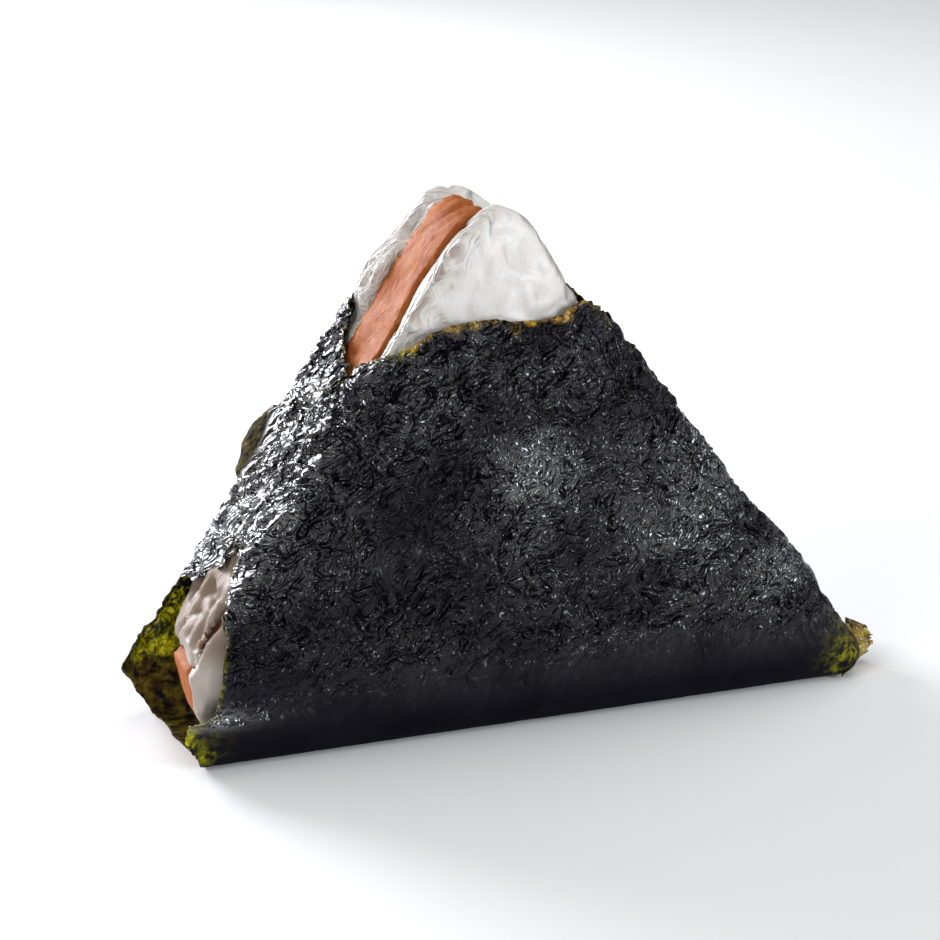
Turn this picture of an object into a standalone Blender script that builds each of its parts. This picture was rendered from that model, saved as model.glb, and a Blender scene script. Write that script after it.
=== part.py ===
"""A triangular rice ball. Two layers of pressed rice hold a layer of salmon between them, and one thin
sheet of nori is folded round them, with the tip left bare. Run with: blender --background --python part.py"""

import math

import bmesh
import bpy
from mathutils import Matrix, Vector, noise

MM = 0.001

# The triangle seen from the front, in mm, as straight sides before its corners are rounded.
# x is counted from the line below the tip, and z from the surface that the rice ball stands on.
PEAK = 76.0  # where the two sloping sides would meet
LEFT_FOOT = 50.2  # how far left of the tip the left side would meet the floor
RIGHT_FOOT = 57.8
BOX_MIDDLE = 7.18  # middle of the whole object's width, which becomes x = 0
TIP_ROUND = 8.6  # corner radii
LEFT_ROUND = 4.0
RIGHT_ROUND = 2.4
LOOSE_ROUND = 10.5  # the rice is rounder at the left foot, where the wrapper stands open

DEPTH = 22.2  # across the narrow sides
DOME = 3.0  # how far each broad face bulges past that
BULGE_SPAN = 24.0  # mm from the middle of a face to its sides
DOME_POWER = 0.6  # below 1 the bulge is full near the edges and flat in the middle
EDGE_ROUND = 3.2  # between a broad face and the narrow sides

NORI_WALL = 0.5
GAP = 0.3  # between pieces that touch

# The salmon layer: its two faces, in mm from the middle of the depth, and how wavy they are.
SALMON_FRONT = -6.0
SALMON_BACK = 3.0
SALMON_WAVE = 0.9
CURL = 3.6  # how far the layer bends forward at the open lower left corner
CURL_PLACE = (-40.0, 4.0)
CURL_SPREAD = 11.0

# The upper opening of the wrapper: level across the broad faces, and a V down each narrow side.
MOUTH_LEVEL = 57.0
MOUTH_LOW_LEFT = 49.2
MOUTH_LOW_RIGHT = 50.4
MOUTH_SLOPE_FRONT = 0.57  # rise for each mm of depth, as a straight edge folded over the side has
MOUTH_SLOPE_BACK = 0.36
MOUTH_LEFT_Y = -4.0  # where the V on the left has its point
MOUTH_DIP = 13.0  # half width of the broad face at the opening

# The open corner at the lower left. The sheet's cut end goes down the front panel, runs out into a lip above
# the floor, passes under the base, and ends at the back panel. Points are x and height.
FRONT_CUT = ((-37.9, -4.0), (-38.7, 0.0), (-42.3, 5.0), (-41.5, 7.4), (-38.2, 8.2))
FRONT_LEAN = 0.13  # how far the cut end leans to the right for each mm of height above the lip
BACK_CUT = ((-41.0, -4.0), (-41.8, 0.0), (-43.0, 3.0), (-44.0, 5.0), (-44.5, 6.5))
BACK_TIP = (-45.0, 7.6)
BASE_CUT = -39.0
BASE_SKEW = 0.16  # how far the cut end under the base moves to the left for each mm of depth
# depth, and height of the flaps' lower edge
SIDE_TOPS = ((-7.5, 25.0), (-2.0, 26.2), (7.5, 20.4), (9.2, 17.0))
FRONT_TOP = 22.5

# A place at the back of the left side where a flap stands off, and the crumpled fold at the right foot.
LIFT = 1.9
LIFT_PLACE = Vector((-26.0, 9.5, 37.0))
LIFT_SPREAD = 6.0
EAR_ROOT = 53.5
EAR_TIP = 59.3
EAR_HEIGHT = 6.0
EAR_DEPTH = -3.6

ARC_STEPS = 5
SIDE_STEPS = 8
FACE_STEPS = 4
ROUND_STEPS = 3
RUMPLE = 0.35  # how far the rice and the sheet are uneven
# How far each layer swells out of the wrapper near the tip, and the x of the place where it is highest.
SWELL = {"rice_front": (1.0, 0.5), "salmon": (0.6, -5.0), "rice_back": (1.9, -5.0)}
SWELL_SPREAD = 7.0
SWELL_START = 54.0
SWELL_FULL = 66.0
SALMON_SINK = 2.4  # how far the salmon's edge lies below the rice on the right of the tip


def corner(before, after, radius):
    """The centre of the arc between two sides, and the angles that it runs between. A side is its outward
    direction and its distance from the origin."""
    (n1, c1), (n2, c2) = before, after
    cross = n1.x * n2.y - n1.y * n2.x
    a, b = c1 - radius, c2 - radius
    centre = Vector(((a * n2.y - b * n1.y) / cross, (b * n1.x - a * n2.x) / cross))
    start = math.atan2(n1.y, n1.x)
    turn = math.acos(max(-1.0, min(1.0, n1.dot(n2))))
    return centre, radius, start, turn


def sides():
    """The outward direction and the distance from the origin of the base, the right and the left side."""
    feet = Vector((-LEFT_FOOT, 0.0)), Vector((RIGHT_FOOT, 0.0)), Vector((0.0, PEAK))
    found = []
    for k in range(3):
        run = (feet[(k + 1) % 3] - feet[k]).normalized()
        out = Vector((run.y, -run.x))
        found.append((out, out.dot(feet[k])))
    return found


def triangle(left_round):
    """The three rounded corners, from the left foot round to the tip."""
    around = sides()
    radii = (left_round, RIGHT_ROUND, TIP_ROUND)
    return [corner(around[k - 1], around[k], radii[k]) for k in range(3)]


def bulge(x, z, inset):
    """How far a broad face stands out here: nothing along its edge and DOME in the middle."""
    product = 1.0
    for out, reach in sides():
        product *= max(0.0, reach - inset - out.dot(Vector((x, z)))) / BULGE_SPAN
    return DOME * min(1.0, product) ** DOME_POWER


def outline(corners, inset):
    """Points round the triangle, this far inside its edge."""
    arcs = []
    for centre, radius, start, turn in corners:
        angles = [start + turn * i / ARC_STEPS for i in range(ARC_STEPS + 1)]
        arcs.append([centre + (radius - inset) * Vector((math.cos(t), math.sin(t))) for t in angles])
    points = []
    for k in range(3):
        points += arcs[k]
        a, b = arcs[k][-1], arcs[(k + 1) % 3][0]
        points += [a.lerp(b, i / SIDE_STEPS) for i in range(1, SIDE_STEPS)]
    return points


def ring(corners, inset, shrink, depth_at):
    """One loop of points: the outline drawn in towards its middle, at the depth that depth_at gives."""
    edge = outline(corners, inset)
    middle = sum(edge, Vector((0.0, 0.0))) / len(edge)
    loop = []
    for p in edge:
        q = middle.lerp(p, shrink)
        loop.append(Vector((q.x, depth_at(q.x, q.y, shrink), q.y)))
    return loop


def face_rings(corners, inset, depth_at):
    """Loops from the middle of a face out to its edge."""
    steps = [0.02] + [i / FACE_STEPS for i in range(1, FACE_STEPS)]
    return [ring(corners, inset, math.sqrt(s), depth_at) for s in steps]


def outer_rings(corners, inward, side):
    """Loops from the edge of a narrow side to the middle of a domed broad face. side is -1 for the front face
    and 1 for the back one, and inward is how far below the wrapper's outside it lies."""
    bend = EDGE_ROUND - inward
    rings = []
    for i in range(ROUND_STEPS + 1):
        t = math.pi / 2 * i / ROUND_STEPS
        y = side * (DEPTH / 2 - EDGE_ROUND + bend * math.sin(t))
        rings.append(ring(corners, inward + bend * (1 - math.cos(t)), 1.0, lambda x, z, s, y=y: y))
    dome = lambda x, z, s: side * (DEPTH / 2 - inward + bulge(x, z, inward + bend))
    return rings + face_rings(corners, inward + bend, dome)[::-1]


def salmon_face(level, phase):
    """The wavy surface of one face of the salmon layer."""

    def depth_at(x, z, shrink):
        wave = SALMON_WAVE * math.sin(0.19 * x + 0.31 * z + phase) * math.cos(0.11 * z - 0.23 * x)
        far = math.hypot(x - CURL_PLACE[0], z - CURL_PLACE[1]) / CURL_SPREAD
        return level + wave - CURL * math.exp(-far * far)

    return depth_at


def closed_surface(rings):
    """A closed surface through these loops, with the first and last ones filled and its faces outwards."""
    bm = bmesh.new()
    loops = [[bm.verts.new(p) for p in loop] for loop in rings]
    for lower, upper in zip(loops, loops[1:]):
        join_loops(bm, lower, upper)
    bm.faces.new(loops[0])
    bm.faces.new(loops[-1][::-1])
    bmesh.ops.recalc_face_normals(bm, faces=bm.faces[:])
    return bm


def join_loops(bm, lower, upper):
    """A closed band of faces between two loops with as many points."""
    for i in range(len(lower)):
        j = (i + 1) % len(lower)
        bm.faces.new((lower[i], lower[j], upper[j], upper[i]))


def solid(name, bm, material):
    """A named object holding this surface, moved so that the whole object's middle is at x = 0."""
    bmesh.ops.triangulate(bm, faces=bm.faces[:])
    bm.transform(Matrix.Scale(MM, 4))
    mesh = bpy.data.meshes.new(name)
    bm.to_mesh(mesh)
    bm.free()
    mesh.shade_smooth()
    mesh.set_sharp_from_angle(angle=math.radians(40))
    obj = bpy.data.objects.new(name, mesh)
    obj.location.x = -BOX_MIDDLE * MM
    bpy.context.scene.collection.objects.link(obj)
    if material:
        mesh.materials.append(material)
    else:
        obj.hide_render = True
        obj.display_type = "WIRE"
    return obj


def finish(name, colour, roughness):
    """A plain finish for one kind of piece."""
    material = bpy.data.materials.new(name)
    material.use_nodes = True
    shader = material.node_tree.nodes["Principled BSDF"]
    shader.inputs["Base Color"].default_value = (*colour, 1.0)
    shader.inputs["Roughness"].default_value = roughness
    shader.inputs["Metallic"].default_value = 0.0
    return material


def ease(value):
    """0 below 0, 1 above 1, and smooth between."""
    t = max(0.0, min(1.0, value))
    return t * t * (3.0 - 2.0 * t)


def dent(name, vert):
    """Presses dents into the outside of a layer, and swells it where it leaves the wrapper."""
    most, place = SWELL[name]
    rise = ease((vert.co.z - SWELL_START) / (SWELL_FULL - SWELL_START))
    push = most * rise * math.exp(-(((vert.co.x - place) / SWELL_SPREAD) ** 2))
    if name == "salmon":
        push -= SALMON_SINK * rise * ease((vert.co.x + 1.0) / 4.0)
    push -= RUMPLE * (1.0 + noise.noise(vert.co * 0.16))
    vert.co += vert.normal * push


def layer(name, material, rings, skin):
    """One layer of the filling, through its loops. skin says which points are on the outside."""
    bm = closed_surface(rings)
    bm.normal_update()
    for vert in bm.verts:
        if skin(vert.co):
            dent(name, vert)
    return solid(name, bm, material)


def rice_layer(name, material, side, corners):
    """Rice between the salmon and one broad face. side is -1 in front and 1 behind."""
    level = SALMON_FRONT if side < 0 else SALMON_BACK
    face = salmon_face(level + side * GAP, 0.0 if side < 0 else 1.7)
    inward = NORI_WALL + GAP
    rings = face_rings(corners, inward, face) + [ring(corners, inward, 1.0, face)]
    rings += outer_rings(corners, inward, side)
    wall = level + side * (GAP + SALMON_WAVE + 0.6)
    return layer(name, material, rings, lambda p: side * (p.y - wall) > 0)


def salmon_layer(material, corners):
    """The salmon, whose edge is level with the rice and a little round."""
    inward = NORI_WALL + GAP
    front, back = salmon_face(SALMON_FRONT, 0.0), salmon_face(SALMON_BACK, 1.7)
    rings = face_rings(corners, inward, front) + [ring(corners, inward, 1.0, front)]
    middle = lambda x, z, s: (front(x, z, s) + back(x, z, s)) / 2
    rings.append(ring(corners, inward, 1.0, middle))
    rings += [ring(corners, inward, 1.0, back)] + face_rings(corners, inward, back)[::-1]
    centre = (SALMON_FRONT + SALMON_BACK) / 2
    return layer("salmon", material, rings, lambda p: abs(p.y - centre) < 1.5)


def wrap_rings(corners, inward):
    """The whole rounded form, as deep inside the wrapper as inward says."""
    return outer_rings(corners, inward, -1)[::-1] + outer_rings(corners, inward, 1)


def mouth_cutter():
    """Everything above the wrapper's upper edge, as a block with that edge as its underside."""
    bm = bmesh.new()
    xs = [-34.0 + 2.0 * i for i in range(35)]
    ys = [-22.0, -16.0] + [-12.0 + 2.0 * j for j in range(13)] + [16.0, 22.0]

    def edge_height(x, y):
        low, middle = (MOUTH_LOW_LEFT, MOUTH_LEFT_Y) if x < 0 else (MOUTH_LOW_RIGHT, 0.0)
        slope = MOUTH_SLOPE_FRONT if y < middle else MOUTH_SLOPE_BACK
        side = low + slope * abs(y - middle) + 0.6 * max(0.0, MOUTH_DIP - abs(x))
        if x > 0 and abs(y) > DEPTH / 2 - 0.5:
            side = MOUTH_LEVEL + 0.1 * x
        ragged = 0.45 * noise.noise(Vector((x * 0.35, y * 0.2, 3.0)))
        return min(MOUTH_LEVEL + 0.1 * max(0.0, x), side) + ragged

    under = [[bm.verts.new((x, y, edge_height(x, y))) for y in ys] for x in xs]
    over = [[bm.verts.new((x, y, PEAK + 12.0)) for y in ys] for x in xs]
    close_grids(bm, (under, over))
    return solid("mouth_cutter", bm, None)


def rim(grid):
    """The outer points of a grid, once round."""
    down = [row[0] for row in grid[-2:0:-1]]
    return grid[0] + [row[-1] for row in grid[1:]] + grid[-1][-2::-1] + down


def close_grids(bm, grids):
    """Fills two grids of points that lie one behind the other, and the band between their rims."""
    for grid in grids:
        for a, b in zip(grid, grid[1:]):
            for j in range(len(a) - 1):
                bm.faces.new((a[j], a[j + 1], b[j + 1], b[j]))
    join_loops(bm, rim(grids[0]), rim(grids[1]))
    bmesh.ops.recalc_face_normals(bm, faces=bm.faces[:])


def corner_cutter():
    """The space left of the sheet's cut end, where the wrapper stands open at the lower left."""
    front = list(FRONT_CUT) + [(FRONT_CUT[-1][0] + FRONT_LEAN * (FRONT_TOP - FRONT_CUT[-1][1]), FRONT_TOP)]
    sections = [(-22.0, front), (-9.5, front)]
    for y, top in SIDE_TOPS:
        end = BASE_CUT - BASE_SKEW * (y + 8.0)
        inner = [(end, -4.0), (end, 0.0), (end + 1.0, 3.0), (-30.0, 6.0), (-28.0, 10.0), (-22.0, top)]
        sections.append((y, inner))
    sections += [(y, list(BACK_CUT) + [BACK_TIP]) for y in (9.4, 22.0)]
    loops = []
    for y, right in sections:
        loop = [(-70.0, right[0][1])] + right + [(-70.0, right[-1][1])]
        loops.append([Vector((x, y, z)) for x, z in loop])
    return solid("corner_cutter", closed_surface(loops), None)


def ear():
    """The crumpled fold that sticks out at the right foot, as a wavy leaf that the wrapper is joined to."""
    bm = bmesh.new()
    across, up = 8, 5
    leaves = []
    for side in (-0.5, 0.5):
        leaf = []
        for i in range(across + 1):
            u = i / across
            x = EAR_ROOT + (EAR_TIP - EAR_ROOT) * u
            row = []
            for j in range(up + 1):
                v = j / up
                height = EAR_HEIGHT * (1.0 - 0.35 * u * u) * (1.0 + 0.08 * math.sin(9.0 * u))
                wave = 0.8 * math.sin(1.9 * x + 2.1 * v) * v
                row.append(bm.verts.new((x - 0.6 * v * u, EAR_DEPTH + wave + side * 0.7, 0.05 + height * v)))
            leaf.append(row)
        leaves.append(leaf)
    close_grids(bm, leaves)
    return solid("ear", bm, None)


def rumple(point, outward):
    """Where a point of the sheet really lies: pushed out a little where it is crumpled or stands off."""
    far = (point - LIFT_PLACE).length / LIFT_SPREAD
    push = LIFT * math.exp(-far * far)
    above = max(0.0, min(1.0, (point.z - 1.0) / 5.0))
    push += RUMPLE * above * (1.0 + noise.noise(point * 0.13)) / 2
    return point + outward * push


def crumpled_form(inward):
    """The whole rounded form as the sheet takes it, this far inside the sheet's outer face."""
    corners = triangle(LEFT_ROUND)
    bm = closed_surface(wrap_rings(corners, 0.0))
    bm.normal_update()
    outward = [v.normal.copy() for v in bm.verts]
    level = [p for loop in wrap_rings(corners, inward) for p in loop]
    for vert, point, out in zip(bm.verts, level, outward):
        vert.co = rumple(point, out)
    return bm


def nori_sheet(material):
    """The wrapper: a thin wall round the whole form, opened at the tip and at the lower left corner."""
    wrapper = solid("nori", crumpled_form(0.0), material)
    for operation, tool in (
        ("UNION", ear()),
        ("DIFFERENCE", solid("inside", crumpled_form(NORI_WALL), None)),
        ("DIFFERENCE", mouth_cutter()),
        ("DIFFERENCE", corner_cutter()),
    ):
        cut = wrapper.modifiers.new(tool.name, "BOOLEAN")
        cut.operation = operation
        cut.object = tool
        cut.solver = "EXACT"
    return wrapper


def main():
    for obj in list(bpy.data.objects):
        bpy.data.objects.remove(obj)
    rice = finish("rice", (0.84, 0.82, 0.77), 0.5)
    fish = finish("salmon", (0.72, 0.30, 0.12), 0.45)
    weed = finish("nori", (0.020, 0.022, 0.026), 0.35)
    corners = triangle(LOOSE_ROUND)
    rice_layer("rice_front", rice, -1, corners)
    salmon_layer(fish, corners)
    rice_layer("rice_back", rice, 1, corners)
    nori_sheet(weed)


main()
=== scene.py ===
# %% [markdown]
# A rice ball, grain by grain and fold by fold.
# The real thing is two layers of pressed rice with salmon between them, and one thin sheet of roasted nori
# folded round the outside. The sheet leaves the tip bare, and its cut end leaves one lower corner open.
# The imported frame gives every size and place. This lesson makes the three things that a plain solid can't
# show: grains of rice, flakes of fish, and a sheet that is crinkled all over.

# %% Load the frame
import math

import bmesh
import bpy
import numpy as np
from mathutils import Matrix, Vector
from mathutils.bvhtree import BVHTree
from mathutils.geometry import delaunay_2d_cdt


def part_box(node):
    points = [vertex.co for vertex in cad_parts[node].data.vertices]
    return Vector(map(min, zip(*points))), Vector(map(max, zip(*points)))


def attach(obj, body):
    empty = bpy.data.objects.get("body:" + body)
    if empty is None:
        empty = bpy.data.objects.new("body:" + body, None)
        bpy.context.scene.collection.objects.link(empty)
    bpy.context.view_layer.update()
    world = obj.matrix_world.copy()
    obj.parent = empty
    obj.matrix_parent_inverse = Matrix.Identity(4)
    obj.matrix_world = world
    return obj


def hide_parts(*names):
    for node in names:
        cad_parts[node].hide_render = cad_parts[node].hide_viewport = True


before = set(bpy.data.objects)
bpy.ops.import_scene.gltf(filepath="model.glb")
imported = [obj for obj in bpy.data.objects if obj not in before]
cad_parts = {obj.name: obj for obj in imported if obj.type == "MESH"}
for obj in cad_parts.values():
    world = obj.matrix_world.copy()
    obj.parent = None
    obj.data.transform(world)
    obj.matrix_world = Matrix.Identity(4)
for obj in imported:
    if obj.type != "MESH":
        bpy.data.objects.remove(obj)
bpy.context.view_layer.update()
MM = 0.001
print("frame nodes:", sorted(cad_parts))

# %% [markdown]
# Sizes. A triangle with straight sides is a handy way to think about the whole form: its three sides, how
# round its corners are, and how thick it is. The leaning of the two slopes is a choice. How far out the
# slopes lie is measured on the frame's rice, so that the looks can't drift away from the frame.
# Lengths are in millimetres here, because a rice ball is easier to think about that way.

# %% Measure the frame
NORI_OUT = 0.8  # from the outside of the rice to the outside of the wrapper
LEFT_LEAN = 33.45  # degrees from upright
RIGHT_LEAN = 37.25
TIP_ROUND = 8.6
LEFT_ROUND = 4.0
RIGHT_ROUND = 2.4
EDGE_ROUND = 3.2  # between a broad face and the narrow sides
DOME = 3.0  # how far the broad faces bulge
DOME_POWER = 0.6
BULGE_SPAN = 24.0


def rows_of(items, name):
    """This property of every item, in rows of three numbers."""
    found = np.empty(len(items) * 3)
    items.foreach_get(name, found)
    return found.reshape(-1, 3)


rice = [rows_of(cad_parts[name].data.vertices, "co") / MM for name in ("rice_front", "rice_back")]
filling = np.concatenate(rice)
wrapped = filling[filling[:, 2] < 48.0][:, [0, 2]]
LEFT_OUT = np.array((-math.cos(math.radians(LEFT_LEAN)), math.sin(math.radians(LEFT_LEAN))))
RIGHT_OUT = np.array((math.cos(math.radians(RIGHT_LEAN)), math.sin(math.radians(RIGHT_LEAN))))
BASE_OUT = np.array((0.0, -1.0))
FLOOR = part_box("nori")[0][2] / MM
sides = [
    (BASE_OUT, -FLOOR),
    (RIGHT_OUT, float((wrapped @ RIGHT_OUT).max()) + NORI_OUT),
    (LEFT_OUT, float((wrapped @ LEFT_OUT).max()) + NORI_OUT),
]
nori_box = np.array(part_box("nori")) / MM
HALF_DEPTH = (nori_box[1][1] - nori_box[0][1]) / 2 - DOME - 0.25


def crossing(a, b):
    """Where two sides meet."""
    return np.linalg.solve(np.array((a[0], b[0])), np.array((a[1], b[1])))


tip = crossing(sides[1], sides[2])
left_foot = crossing(sides[2], sides[0])
right_foot = crossing(sides[0], sides[1])
LEFT_DOWN = np.array((LEFT_OUT[1] * -1.0, LEFT_OUT[0]))
RIGHT_DOWN = np.array((RIGHT_OUT[1], -RIGHT_OUT[0]))
print("tip", tip.round(1), "feet", left_foot.round(1), right_foot.round(1))
print("half depth", round(HALF_DEPTH, 2))

# %% [markdown]
# The fold line. The sheet starts to bend a little inside the triangle's sides, along a smaller triangle with
# round corners. Each point of the sheet needs to know its nearest place on that line and whether it lies
# inside it, so both are worked out from the straight pieces between neighbouring points of the line.

# %% Round the triangle's corners


def rounded_triangle(inset, steps=14):
    """Points round the triangle, this far inside its sides."""
    order = [sides[2], sides[0], sides[1], sides[2]]
    points = []
    for k, radius in enumerate((LEFT_ROUND, RIGHT_ROUND, TIP_ROUND)):
        before, after = order[k], order[k + 1]
        centre = crossing((before[0], before[1] - radius), (after[0], after[1] - radius))
        start = math.atan2(before[0][1], before[0][0])
        turn = math.acos(float(before[0] @ after[0]))
        left = max(radius - inset, 0.02)
        middle = centre + (centre - crossing(before, after)) * max(inset - radius, 0.0) / radius
        for i in range(steps + 1):
            t = start + turn * i / steps
            points.append(middle + left * np.array((math.cos(t), math.sin(t))))
    return np.array(points)


def nearest_on(loop, points):
    """For each point, the nearest place on a closed loop, and whether the point is inside the loop."""
    a, b = loop, np.roll(loop, -1, axis=0)
    run = b - a
    best = np.full(len(points), 1e9)
    place = np.zeros_like(points)
    inside = np.zeros(len(points), bool)
    for p, q, d in zip(a, b, run):
        length = float(d @ d)
        if length < 1e-12:
            continue
        t = np.clip(((points - p) @ d) / length, 0.0, 1.0)
        near = p + t[:, None] * d
        gap = ((points - near) ** 2).sum(1)
        closer = gap < best
        best[closer] = gap[closer]
        place[closer] = near[closer]
        spans = (p[1] > points[:, 1]) != (q[1] > points[:, 1])
        rise = q[1] - p[1] if q[1] != p[1] else 1e-9
        inside ^= spans & (points[:, 0] < (q[0] - p[0]) * (points[:, 1] - p[1]) / rise + p[0])
    return place, np.sqrt(best), inside


def bulge(points):
    """How far a broad face stands out at these points."""
    product = np.ones(len(points))
    for out, reach in sides:
        product *= np.maximum(0.0, reach - EDGE_ROUND - points @ out) / BULGE_SPAN
    return DOME * np.minimum(product, 1.0) ** DOME_POWER


fold_loop = rounded_triangle(EDGE_ROUND)
print("fold line:", len(fold_loop), "points,", round(EDGE_ROUND, 1), "mm inside the sides")

# %% [markdown]
# A sheet that is folded over an edge keeps its lengths: what lies past the fold goes round a quarter circle
# and then on along the narrow side. So the sheet is drawn flat first, as a cook would lay it out, and each
# of its points is then wrapped. Three helpers say where a place on a narrow side lies on the flat sheet.

# %% Wrap a flat sheet
QUARTER = EDGE_ROUND * math.pi / 2
FLAT_DEPTH = HALF_DEPTH - EDGE_ROUND  # where the narrow side starts being flat


def wrap(flat, side):
    """Wraps points of the flat sheet round the body. side is -1 for the front sheet and 1 for the back."""
    place, past, inside = nearest_on(fold_loop, flat)
    past = np.where(inside, 0.0, past)
    out = np.where(past[:, None] > 1e-9, (flat - place) / np.maximum(past, 1e-9)[:, None], 0.0)
    turn = np.minimum(past / EDGE_ROUND, math.pi / 2)
    beyond = np.maximum(past - QUARTER, 0.0)
    ground = np.where(inside[:, None], flat, place + out * (EDGE_ROUND * np.sin(turn))[:, None])
    depth = FLAT_DEPTH + EDGE_ROUND * np.cos(turn) - beyond
    depth = np.where(inside, HALF_DEPTH + bulge(flat), depth)
    solid = np.column_stack((ground[:, 0], side * depth, ground[:, 1]))
    lean = np.where(inside, 0.0, np.sin(turn))
    facing = side * np.where(inside, 1.0, np.cos(turn))
    return solid, np.column_stack((out[:, 0] * lean, facing, out[:, 1] * lean))


# How far past a side the middle of the depth lies, laid flat.
FOLD_SHIFT = FLAT_DEPTH + QUARTER - EDGE_ROUND


def on_left(down, y, side):
    """The flat place of a point on the left narrow side, this far down from the tip."""
    return tip + down * LEFT_DOWN + LEFT_OUT * (FOLD_SHIFT - side * y)


def on_right(down, y, side):
    return tip + down * RIGHT_DOWN + RIGHT_OUT * (FOLD_SHIFT - side * y)


def on_base(x, y, side):
    return np.array((x, -(FOLD_SHIFT - side * y)))


print("the sheet reaches the middle of a narrow side", round(FOLD_SHIFT + EDGE_ROUND, 1), "mm past the fold")

# %% [markdown]
# The sheet, cut out flat. One sheet starts under the base, climbs the front, and its spare width folds over
# the two slopes. The same sheet goes up the back. It is drawn here as two patches that meet under the
# base, because each patch then wraps without tearing. The corners of each patch are the cut ends and the
# folded edges of the real sheet, and small steps with a little sideways noise make the edges ragged.

# %% Cut the two patches


def at(x, z):
    """A place on the broad face, from the tip's upright line and the floor."""
    return np.array((tip[0] + x, z))


FRONT_CORNERS = [
    on_base(tip[0] - 40.3, 0.0, -1), on_base(tip[0] + 57.5, 0.0, -1), on_right(94.0, 3.0, -1),
    on_right(35.2, 4.0, -1), on_right(32.2, 0.0, -1), on_right(24.6, -9.7, -1),
    at(12.0, 58.0), at(8.4, 57.1), at(3.0, 56.8), at(-5.0, 56.7), at(-7.6, 56.3), at(-9.6, 55.4),
    at(-11.5, 54.3), on_left(28.0, -9.5, -1), on_left(32.1, -5.5, -1), on_left(36.0, 0.0, -1),
    on_left(39.0, 5.0, -1), on_left(42.0, 9.3, -1), on_left(47.0, 10.4, -1), on_left(51.5, 8.6, -1),
    on_left(56.3, -1.5, -1), on_left(58.5, -4.5, -1), on_left(62.5, -8.5, -1), at(-36.2, 21.5),
    at(-35.5, 16.4), at(-36.8, 12.2), at(-38.2, 8.2), at(-41.5, 7.4), at(-42.3, 5.0), at(-40.5, 2.0),
    on_base(tip[0] - 38.9, -8.0, -1),
]
BACK_CORNERS = [
    on_base(tip[0] - 40.3, 0.0, 1), on_base(tip[0] - 41.3, 8.0, 1), at(-41.8, 0.5), at(-43.0, 3.0),
    at(-44.5, 6.5), at(-45.3, 7.9), on_left(80.0, 9.8, 1), on_left(74.0, 9.3, 1), on_left(69.0, 8.6, 1),
    on_left(67.2, 7.3, 1), on_left(66.8, 4.8, 1), on_left(65.4, 3.3, 1), on_left(63.7, 3.0, 1),
    on_left(61.5, -2.0, 1), on_left(60.2, -1.4, 1), on_left(52.0, -6.0, 1), on_left(44.0, -8.0, 1),
    on_left(36.0, -6.0, 1), on_left(31.9, -2.9, 1), on_left(28.4, 3.5, 1), on_left(24.4, 7.6, 1),
    at(-13.0, 55.0), at(-8.0, 56.5), at(0.0, 57.0), at(8.0, 57.3), at(12.0, 58.0), on_right(23.9, 9.7, 1),
    on_right(32.2, 0.0, 1), on_right(37.0, -6.0, 1), on_right(90.0, -6.5, 1), on_right(94.5, -5.0, 1),
    on_base(tip[0] + 57.5, 0.0, 1),
]
STEP = 0.43  # between the points of the sheet
SEAM = on_base(0.0, 0.0, 1)[1]  # where the patches meet under the base


def ragged(corners, amount, seed):
    """A closed edge in small steps through the corners, with a little sideways noise except at the seam."""
    chance = np.random.default_rng(seed)
    points = []
    for a, b in zip(corners, corners[1:] + corners[:1]):
        n = max(1, round(float(np.linalg.norm(b - a)) / STEP))
        points += [a + (b - a) * i / n for i in range(n)]
    points = np.array(points)
    run = np.roll(points, -1, axis=0) - np.roll(points, 1, axis=0)
    out = np.column_stack((run[:, 1], -run[:, 0])) / np.linalg.norm(run, axis=1)[:, None]
    fine = chance.normal(size=len(points))
    broad = np.convolve(np.concatenate((fine[-9:], fine, fine[:9])), np.ones(19) / 4.4, "valid")
    medium = np.convolve(np.concatenate((fine[-2:], fine, fine[:2])), np.ones(5) / 2.2, "valid")
    push = (0.25 * fine + 0.55 * medium + broad) * amount * np.clip((points[:, 1] - SEAM) / 4.0, 0.0, 1.0)
    return points + out * push[:, None]


def patch(corners, seed):
    """The flat points and triangles of one patch, and each point's distance from the patch's edge."""
    edge = ragged(corners, 0.16, seed)
    low, high = edge.min(0), edge.max(0)
    rows = np.arange(low[1], high[1], STEP * 0.866)
    grid = []
    for j, z in enumerate(rows):
        xs = np.arange(low[0] + (j % 2) * STEP / 2, high[0], STEP)
        grid.append(np.column_stack((xs, np.full(len(xs), z))))
    grid = np.concatenate(grid)
    _, gap, inside = nearest_on(edge, grid)
    grid = grid[inside & (gap > STEP * 0.45)]
    gap = gap[inside & (gap > STEP * 0.45)]
    flat = np.concatenate((edge, grid))
    n = len(edge)
    loop = [(i, (i + 1) % n) for i in range(n)]
    made = delaunay_2d_cdt([Vector(p) for p in flat], loop, [], 1, 1e-7)
    flat = np.array([tuple(v) for v in made[0]])
    _, away, _ = nearest_on(edge, flat)
    return flat, made[2], away


patches = {"front": patch(FRONT_CORNERS, 3), "back": patch(BACK_CORNERS, 8)}
for name, (flat, triangles, _) in patches.items():
    print(name, "patch:", len(flat), "points,", len(triangles), "triangles")

# %% [markdown]
# A few helpers that everything below uses: a soft step from 0 to 1, a spot that fades out round a place, two
# ways to say where points lie, and ways to make and even out a mesh. A mesh can carry numbers on its points.
# These numbers, or marks, are how a shape tells the nodes and the materials where to do something.

# %% Helpers for shapes and marks


def ease(value, low, high):
    t = np.clip((value - low) / (high - low), 0.0, 1.0)
    return t * t * (3 - 2 * t)


def near(points, place, spread):
    """1 at a place and fading out over this many millimetres."""
    place = np.array(place) + (tip[0], 0.0, 0.0)
    return np.exp(-(((points - place) / spread) ** 2).sum(1))


def right_of_tip(points):
    """How far to the right of the tip the points lie."""
    return points[:, 0] - tip[0]


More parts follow.
